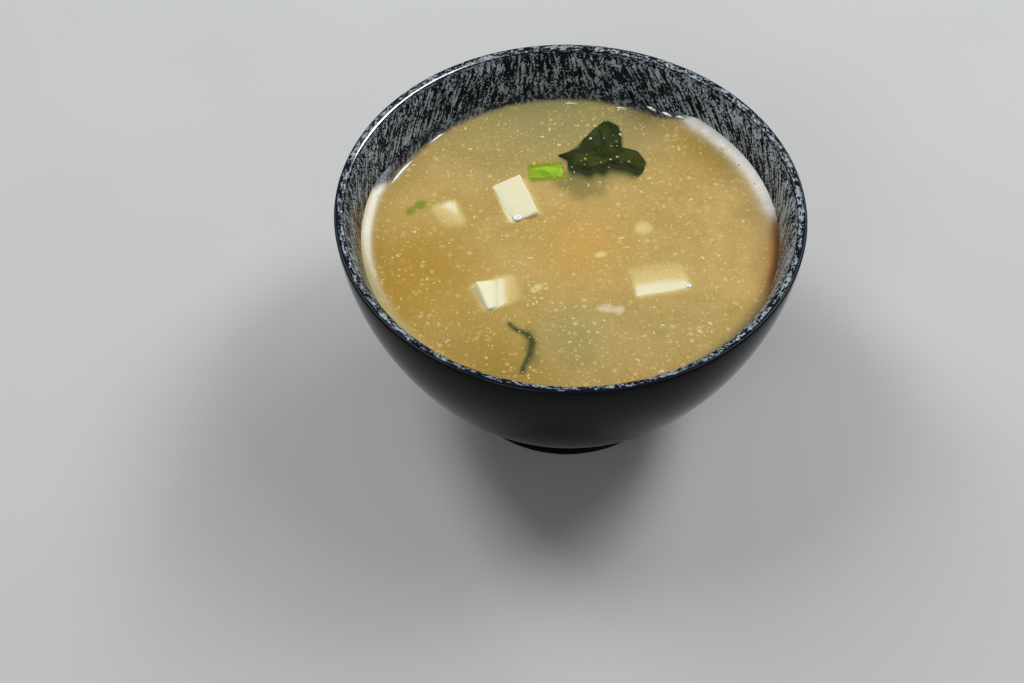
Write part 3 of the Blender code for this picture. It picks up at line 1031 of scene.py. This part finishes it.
def shares_seen(pieces, fade):
    """For each point of the soup, how much shows of pieces below it, from 0 to 1.

    fade is the depth, in millimetres, over which a piece grows fainter."""
    tree = tree_of_faces(pieces)
    reach = fade * 4
    boxes = []
    for piece in pieces:
        spots = [corner.co / MM for corner in piece.data.vertices]
        boxes.append((min(p.x for p in spots) - BESIDE, max(p.x for p in spots) + BESIDE,
                      min(p.y for p in spots) - BESIDE, max(p.y for p in spots) + BESIDE))
    shares = []
    for corner in soup.data.vertices:
        spot = corner.co / MM
        if spot.z < SOUP_LEVEL - 0.5 or not any(
                left < spot.x < right and front < spot.y < back
                for left, right, front, back in boxes):
            shares.append(0.0)
            continue
        above = tree.ray_cast(corner.co, Vector((0, 0, 1)), 10 * MM)
        if above[0] is not None and above[1].z > 0:
            shares.append(1.0)
            continue
        total = straight = 0.0
        for lean_x, lean_y in FAN:
            way = Vector((lean_x, lean_y, -1)).normalized()
            hit = tree.ray_cast(corner.co, way, reach * MM)
            if hit[0] is not None:
                share = math.exp(-hit[3] / MM / fade)
                total += share
                if (lean_x, lean_y) == FAN[0]:
                    straight = share * math.exp(-hit[3] / MM / NEAR)
        shares.append(min(max(straight, GLOW * total / len(FAN)), 1.0))
    return shares


def keep_shares(name, shares):
    layer = soup.data.attributes.new(name, "FLOAT", "POINT")
    layer.data.foreach_set("value", shares)
    print(name, "shows at", sum(share > 0.02 for share in shares), "points")


keep_shares("tofu_below", shares_seen(tofu + [tofu_scraps], fade=1.6))
keep_shares("flakes_below", shares_seen([flakes], fade=2.0))
keep_shares("weed_below", shares_seen([leaf, strand, weed_scraps], fade=1.7))
keep_shares("onion_below", shares_seen(onions + [green_scraps], fade=1.3))
keep_shares("edge_gap", [
    max(edge_radius(math.atan2(spot.y, spot.x)) - math.hypot(spot.x, spot.y), 0.0)
    for spot in (corner.co / MM for corner in soup.data.vertices)])

# %% [markdown]
# Miso clouds as it stands: paler swirls of bean and rice drift in a golden broth. Broad soft
# patches set the main colours, noise breaks them up, and a fine grain stands for the smallest
# particles. The broad greenish-grey patch at the back is a painted reflection haze, and near
# the wall the colour carries painted shade and, at the far left, a painted reflection. Along
# the back, the soup's edge is painted dark and flecked as the wall is, so that the soup seems
# to end sooner there than its mesh does.

# %% Soup
soup_finish = Finish("soup", IOR=1.42, Coat_Roughness=0.25, Coat_IOR=1.72)
point, x, y, z = soup_finish.place()


def patch(middle_x, middle_y, radius):
    """A soft round patch: 1 in its middle, 0 beyond its radius, all in millimetres."""
    across = (x - middle_x * MM) / (radius * MM)
    along = (y - middle_y * MM) / (radius * MM)
    return (1 - (across * across + along * along).root()).between(0.0, 1.0)


drift = soup_finish.noise(point, 14.0, detail=3, roughness=0.55, distortion=0.8)
swirl = soup_finish.noise(point, 4.5, detail=3, roughness=0.6, distortion=0.6)
grain = soup_finish.noise(point, 0.8, detail=2, roughness=0.6)
broth = soup_finish.mix((drift + swirl * 0.5 - 0.25).between(0.3, 0.7),
                        colour(177, 152, 84), colour(193, 165, 99))

PATCHES = [                     # middle and radius in millimetres, strength, colour
    ((4, -4, 22), 0.8, (198, 157, 75)),
    ((-42, -14, 36), 0.95, (170, 134, 32)),
    ((-18, -46, 34), 0.9, (156, 128, 36)),
    ((-28, 32, 24), 0.6, (164, 146, 84)),
    ((18, 40, 22), 0.7, (154, 136, 80)),
    ((32, -38, 26), 0.7, (164, 146, 84)),
    # painted reflection haze: the broad greenish-grey patch at the back
    ((-4, 52, 46), 0.95, (140, 138, 88)),
    ((8, -38, 26), 0.6, (168, 150, 88)),
    ((42, 34, 20), 0.9, (160, 132, 36)),
    ((20, -56, 22), 0.6, (172, 132, 56)),
    ((0, -32, 13), 0.55, (156, 150, 102)),
    ((22, 48, 11), 0.85, (98, 92, 60)),
]
for place, strength, shade in PATCHES:
    broth = soup_finish.mix(patch(*place) * strength, broth, colour(*shade))
print("the broth has", len(PATCHES), "patches")

# %% Sunk grains, softer and dimmer than those at the top
for size, amount, seed in ((1.5, 0.30, 0.0), (2.4, 0.34, 0.011), (1.1, 0.20, 0.023)):
    moved = soup_finish.stretched(point, 1, 1, 0.2, move=(seed, -seed, seed))
    settings = {"Vector": moved, "Scale": 1 / (size * MM), "Randomness": 1.0}
    distance = soup_finish.node("ShaderNodeTexVoronoi", sockets=settings)
    lot = soup_finish.node("ShaderNodeTexVoronoi", sockets=settings, output=1)
    chosen = soup_finish.node("ShaderNodeSeparateColor", sockets={0: lot}) ** 2.5
    spot = (1 - distance.between(0.05, 0.38)) * chosen * amount * 2.5
    broth = soup_finish.mix(spot, broth, colour(222, 200, 136))

# %% What shows from below, the edge's painted shade and painted reflection, and its stains
SEEN_BELOW = [                  # attribute, where it starts and is full, strength, colour
    ("weed_below", 0.0, 0.6, 0.9, (118, 116, 66)),
    ("weed_below", 0.22, 0.85, 1.0, (38, 46, 12)),
    ("onion_below", 0.0, 0.65, 1.0, (132, 140, 20)),
    ("tofu_below", 0.0, 0.4, 0.5, (216, 196, 124)),
    ("tofu_below", 0.05, 0.9, 1.0, (222, 204, 142)),
    ("tofu_below", 0.6, 1.0, 1.0, (234, 231, 202)),
    ("flakes_below", 0.1, 1.1, 0.9, (220, 212, 190)),
]
for name, low, high, strength, shade in SEEN_BELOW:
    seen = soup_finish.attribute(name).between(low, high) * strength
    broth = soup_finish.mix(seen, broth, colour(*shade))

gap = soup_finish.attribute("edge_gap")
out = (x * x + y * y).root()
to_right, to_back = x / out, y / out
near_wall = 1 - gap.between(0.0, 4.2)
# Painted shade: the soup darkens towards the wall, most at the right, partly the wall's shade
# and partly thin soup over the black lacquer.
broth = soup_finish.mix(near_wall * (to_right.between(-0.3, 0.3) * 0.55 + 0.2), broth,
                        colour(78, 82, 68))
# Painted reflection: paler and greyer near the wall at the far left, where the left pale
# crescent lies.
broth = soup_finish.mix(near_wall * (1 - to_right.between(-0.75, -0.45)) * 0.7, broth,
                        colour(188, 184, 136))
ring = (1 - gap.between(0.1, 0.6)) * swirl.between(0.3, 0.6) * to_right.between(-0.4, 0.4)
broth = soup_finish.mix(ring * 0.8, broth, colour(112, 66, 34))
stain = (1 - gap.between(0.4, 2.6)) * to_right.between(0.88, 0.97) * (
    1 - to_back.between(-0.05, 0.20))
glow = (1 - gap.between(1.0, 6.0)) * to_right.between(0.84, 0.98) * (
    1 - to_back.between(-0.05, 0.18))
broth = soup_finish.mix(glow * 0.55, broth, colour(182, 124, 30))
broth = soup_finish.mix(stain * 0.95, broth, colour(86, 42, 4))
print("soup has", len(soup_finish.tree.nodes), "nodes so far")

# %% The dark flecked film along the back, and the soup's gloss
flecks, silver, _ = fleck_pattern(soup_finish, point, x, y, z - gap * (1.3 * MM))
wall_below = soup_finish.mix(flecks, colour(8, 10, 14), soup_finish.tint(silver, 0.40))
film_width = ((1 - to_right.between(0.48, 0.68)) * to_right.between(-0.975, -0.915)
              * to_back.between(0.05, 0.30))
film = 1 - (gap + (swirl - 0.5) * 1.4 - film_width * 3.0).between(-0.9, 1.5)
film = film * film_width.between(0.0, 0.3)
broth = soup_finish.mix(film, broth, wall_below)

off_glow = 1 - glow.between(0.05, 0.75)
off_weed = 1 - soup_finish.attribute("weed_below").between(0.12, 0.6) * 0.9
uneven_gloss = swirl.between(0.35, 0.65) * 0.25 + 0.75
soup_finish.set(
    Base_Color=soup_finish.tint(broth, grain * 0.3 + 0.785, warmth=0.105),
    Roughness=grain * 0.08 + 0.28 + glow * 0.35,
    Coat_Weight=(1 - film) * off_glow * off_weed * uneven_gloss,
    Normal=soup_finish.bump(grain, 0.008),
)
dress(soup, "soup", soup_finish.material)
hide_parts("soup")

# %% [markdown]
# The larger grains of bean and rice koji float at the top, some bright and dry, most of them
# half sunk and dimmer. There are well over a thousand, so each is a low pebble of twenty
# faces. They are copies of one small ball, laid where a ray from above meets the soup or the
# weed.

# %% Grains
def scatter_ball():
    """The points and the faces of one small ball."""
    let_go()
    bpy.ops.mesh.primitive_ico_sphere_add(subdivisions=1, radius=1.0)
    ball = bpy.context.object
    points = [corner.co.copy() for corner in ball.data.vertices]
    faces = [list(face.vertices) for face in ball.data.polygons]
    bpy.data.objects.remove(ball, do_unlink=True)
    return points, faces


def in_disc(chance, radius):
    turn, out = chance.uniform(0, math.tau), radius * math.sqrt(chance.random())
    return out * math.cos(turn), out * math.sin(turn)


chance = random.Random(7)
surface_tree = tree_of_faces([soup, leaf, strand])
cube_tree = tree_of_faces(tofu)
leaf_tree = tree_of_faces([leaf])
ball_points, ball_faces = scatter_ball()
grain_points, grain_faces, grain_paleness = [], [], []
GRAINS = 1800
CLUSTERS = [((-13.0, -8.0), 3.2, 14), ((-22.0, -0.5), 4.0, 6), ((-7.0, -22.0), 4.5, 15),
            ((13.5, -1.5), 3.0, 14), ((34.0, -30.0), 4.0, 7), ((-35.0, -15.5), 2.4, 5)]
QUIET_X, QUIET_Y, QUIETER = -18, 5, 0.3     # fewer float at the front left
FILM_REACH = 4.5                # mm from the wall that the dark film along the back takes up
FILM_Y, FILM_LEFT, FILM_RIGHT = 15, -50, 30
OFF_CUBES = 1.2                 # mm: a cube less deep than this carries no grains
OFF_LEAF = 0.7                  # share of the grains that are kept off the leaf
GRAIN_FLAT, GRAIN_SUNK = 0.28, 0.10
ABOVE = 80.0                    # mm: where the rays start
DOWN = Vector((0, 0, -1))
places = []
while len(places) < GRAINS:
    x, y = in_disc(chance, SOUP_RADIUS - 0.6)
    crowd = 0.62 + uneven((x, y, 3), 11.0, 0.55)
    if x < QUIET_X and y < QUIET_Y:
        crowd -= QUIETER
    if chance.random() < crowd:
        places.append((x, y, chance.random() ** 6.0))
for (middle_x, middle_y), spread, count in CLUSTERS:
    for _ in range(count):
        places.append((chance.gauss(middle_x, spread / 2), chance.gauss(middle_y, spread / 2),
                       chance.uniform(0.2, 0.9)))
for x, y, paleness in places:
    start = Vector((x * MM, y * MM, ABOVE * MM))
    hit = surface_tree.ray_cast(start, DOWN)
    on_cube = cube_tree.ray_cast(start, DOWN)
    if hit[0] is None or (on_cube[0] is not None and on_cube[0].z > hit[0].z - OFF_CUBES * MM):
        continue
    if (math.hypot(x, y) > SOUP_RADIUS - FILM_REACH and y > FILM_Y
            and FILM_LEFT < x < FILM_RIGHT):
        continue
    if leaf_tree.ray_cast(start, DOWN)[0] is not None and chance.random() < OFF_LEAF:
        continue
    size = (0.16 + 0.26 * chance.random() ** 2) * (0.85 + 0.45 * paleness)
    if chance.random() < 0.04:
        size *= 1.5
    long_share = chance.uniform(1.0, 1.7)
    turn = chance.uniform(0, math.pi)
    cos_turn, sin_turn = math.cos(turn), math.sin(turn)
    first = len(grain_points)
    for ball_point in ball_points:
        along, across = ball_point.x * size * long_share, ball_point.y * size
        grain_points.append(Vector((
            x + along * cos_turn - across * sin_turn,
            y + along * sin_turn + across * cos_turn,
            hit[0].z / MM + ball_point.z * size * GRAIN_FLAT - size * GRAIN_SUNK)) * MM)
        grain_paleness.append(paleness)
    grain_faces += [[first + index for index in face] for face in ball_faces]
grain_mesh = bpy.data.meshes.new("miso_grains")
grain_mesh.from_pydata(grain_points, [], grain_faces)
grains = bpy.data.objects.new("miso_grains", grain_mesh)
bpy.context.scene.collection.objects.link(grains)
layer = grain_mesh.attributes.new("paleness", "FLOAT", "POINT")
layer.data.foreach_set("value", grain_paleness)
settle(grains, crease=80, mend=False)

grain_finish = Finish("miso_grain", IOR=1.4, Coat_Weight=0.1, Coat_Roughness=0.15)
point = grain_finish.point()
pale = grain_finish.attribute("paleness")
dim = grain_finish.mix(grain_finish.noise(point, 20.0),
                       colour(198, 172, 104), colour(208, 182, 112))
grain_finish.set(
    Base_Color=grain_finish.mix(pale.between(0.0, 1.0), dim, colour(224, 202, 136)),
    Roughness=pale * 0.1 + 0.3,
)
dress(grains, "soup", grain_finish.material)

# %% [markdown]
# ## Bubbles and wet beads
# Three small bubbles cling to the tofu. Each is a low whitish dome, a little clearer in its
# middle and darker at its rim; its whitish colour is partly a painted highlight. Along the back
# the soup ends in narrow rounded beads that catch the light; their near-white colour is a
# painted glint. A bead is a curve with a round bevel that is thin at both ends, turned into a
# mesh.

# %% Bubbles
BUBBLES = [((-13.4, 6.2, 0.45), 1.25), ((29.9, -16.9, 0.1), 0.75), ((16.8, -19.9, 0.0), 0.35)]
BUBBLE_FLAT = 0.42
BUBBLE_BASE = 0.25              # share of its radius that it reaches down

domes = []
for (x, y, above_soup), radius in BUBBLES:
    let_go()
    bpy.ops.mesh.primitive_uv_sphere_add(segments=32, ring_count=16, radius=radius * MM)
    dome = name_new("bubbles")
    for corner in dome.data.vertices:
        corner.co.z = max(corner.co.z, -BUBBLE_BASE * radius * MM) * BUBBLE_FLAT
    dome.location = Vector((x, y, SOUP_LEVEL + above_soup)) * MM
    domes.append(dome)
take(*domes)
bpy.ops.object.join()
settle(bpy.context.object, crease=80)

bubble_film_highlight = Finish("bubble_film_painted_highlight", IOR=1.6, Roughness=0.03)
facing = bubble_film_highlight.node("ShaderNodeLayerWeight", sockets={"Blend": 0.45}, output=1)
# The whitish colour, palest face on, is partly the bubble's milky film and partly a painted
# highlight; it turns a darker yellow at the rim.
bubble_film_highlight.set(
    Base_Color=bubble_film_highlight.mix(facing.between(0.3, 0.9), colour(252, 250, 242),
                               colour(188, 170, 116)),
    Alpha=facing.between(0.15, 0.9) * 0.2 + 0.78,
)
dress(domes[0], "soup", bubble_film_highlight.material)


# %% Wet beads
BEAD_STEPS = 24
BEAD_ABOVE_SOUP = 0.05
BEADS = [                       # degrees and radius at the start and at the end, thickness
    ((146.5, 49.5), (159.0, 50.2), 0.46), ((132.0, 50.0), (138.0, 49.8), 0.38),
    ((65.0, 52.3), (61.6, 51.8), 0.46), ((60.0, 52.2), (56.3, 51.9), 0.52),
    ((55.4, 52.3), (52.4, 52.6), 0.46), ((90.3, 48.9), (86.1, 48.6), 0.24),
    ((73.6, 49.2), (70.4, 49.5), 0.28),
]

beads = []
for (start, start_radius), (end, end_radius), thick in BEADS:
    curve = bpy.data.curves.new("wet_beads_painted_glint", "CURVE")
    curve.dimensions = "3D"
    curve.bevel_depth = thick * MM
    curve.bevel_resolution = 5
    line = curve.splines.new("POLY")
    line.points.add(BEAD_STEPS)
    for step, knot in enumerate(line.points):
        share = step / BEAD_STEPS
        turn = math.radians(start + (end - start) * share)
        radius = start_radius + (end_radius - start_radius) * share
        x, y = radius * math.cos(turn), radius * math.sin(turn)
        knot.co = (x * MM, y * MM, (soup_height(x, y) + BEAD_ABOVE_SOUP) * MM, 1.0)
        knot.radius = max(math.sin(math.pi * share), 0.02) ** 0.7
    bead = bpy.data.objects.new("wet_beads_painted_glint", curve)
    bpy.context.scene.collection.objects.link(bead)
    beads.append(bead)
take(*beads)
bpy.ops.object.convert(target="MESH")
bpy.ops.object.join()
wet_beads_painted_glint = name_new("wet_beads_painted_glint")
settle(wet_beads_painted_glint, crease=80)
wet_glint_finish = Finish("wet_bead_painted_glint", IOR=1.5, Coat_Weight=1.0, Coat_IOR=2.6, Coat_Roughness=0.14)
point = wet_glint_finish.point()
cloud = wet_glint_finish.noise(point, 1.5, detail=2)
# Painted glint: the beads' near-white colour stands for their highlight, on top of the coat's
# real reflection.
wet_glint_finish.set(Base_Color=wet_glint_finish.mix(cloud, colour(206, 208, 196), colour(240, 242, 238)),
        Roughness=cloud * 0.1 + 0.1)
dress(wet_beads_painted_glint, "soup", wet_glint_finish.material)

# %% [markdown]
# ## Stage
# A pale floor and four soft lights: large ones at the left, at the right and higher up on the
# right, all behind the bowl, and a small one in front. The soup climbs the wall in a narrow
# curve, and that curve mirrors the large lights as pale crescents.

# %% Floor
let_go()
bpy.ops.mesh.primitive_plane_add(size=3.0)
floor = name_new("floor")
paper = Finish("paper", Roughness=0.9)
point = paper.point()
paper.set(Base_Color=paper.mix(paper.noise(point, 60.0), (0.53, 0.505, 0.49, 1),
                               (0.57, 0.545, 0.53, 1)))
floor.data.materials.append(paper.material)


# %% Lights
def soft_light(name, towards, far, size, power, along=(0, 0, 1)):
    """A soft light in a direction from the soup, its second side along a given line."""
    light = bpy.data.lights.new(name, "AREA")
    light.shape = "RECTANGLE"
    light.size, light.size_y = size
    light.energy = power
    light.color = (0.90, 0.97, 1.0)
    lamp = bpy.data.objects.new(name, light)
    back = Vector(towards).normalized()
    up = Vector(along)
    up = (up - back * up.dot(back)).normalized()
    turn = Matrix((up.cross(back), up, back)).transposed()
    lamp.matrix_world = Matrix.Translation(
        Vector((0, 0, SOUP_LEVEL * MM)) + back * far) @ turn.to_4x4()
    bpy.context.scene.collection.objects.link(lamp)
    return lamp


soft_light("left_light", (-0.50, 0.34, 0.79), 1.0, (0.30, 0.78), 5.5, (0.26, -0.52, 0.31))
soft_light("right_light", (0.54, 0.52, 0.66), 1.0, (0.28, 0.70), 4.3, (0.15, -0.5, 0.42))
soft_light("top_light", (0.54, 0.20, 0.80), 1.0, (0.28, 0.62), 3.2, (-0.35, -0.44, 0.36))
soft_light("front_light", (-0.35, -0.72, 0.62), 1.0, (0.3, 0.3), 1.6)

world = bpy.data.worlds.new("studio")
world.use_nodes = True
world.node_tree.nodes["Background"].inputs["Color"].default_value = (1, 1, 1, 1)
world.node_tree.nodes["Background"].inputs["Strength"].default_value = 0.15
bpy.context.scene.world = world
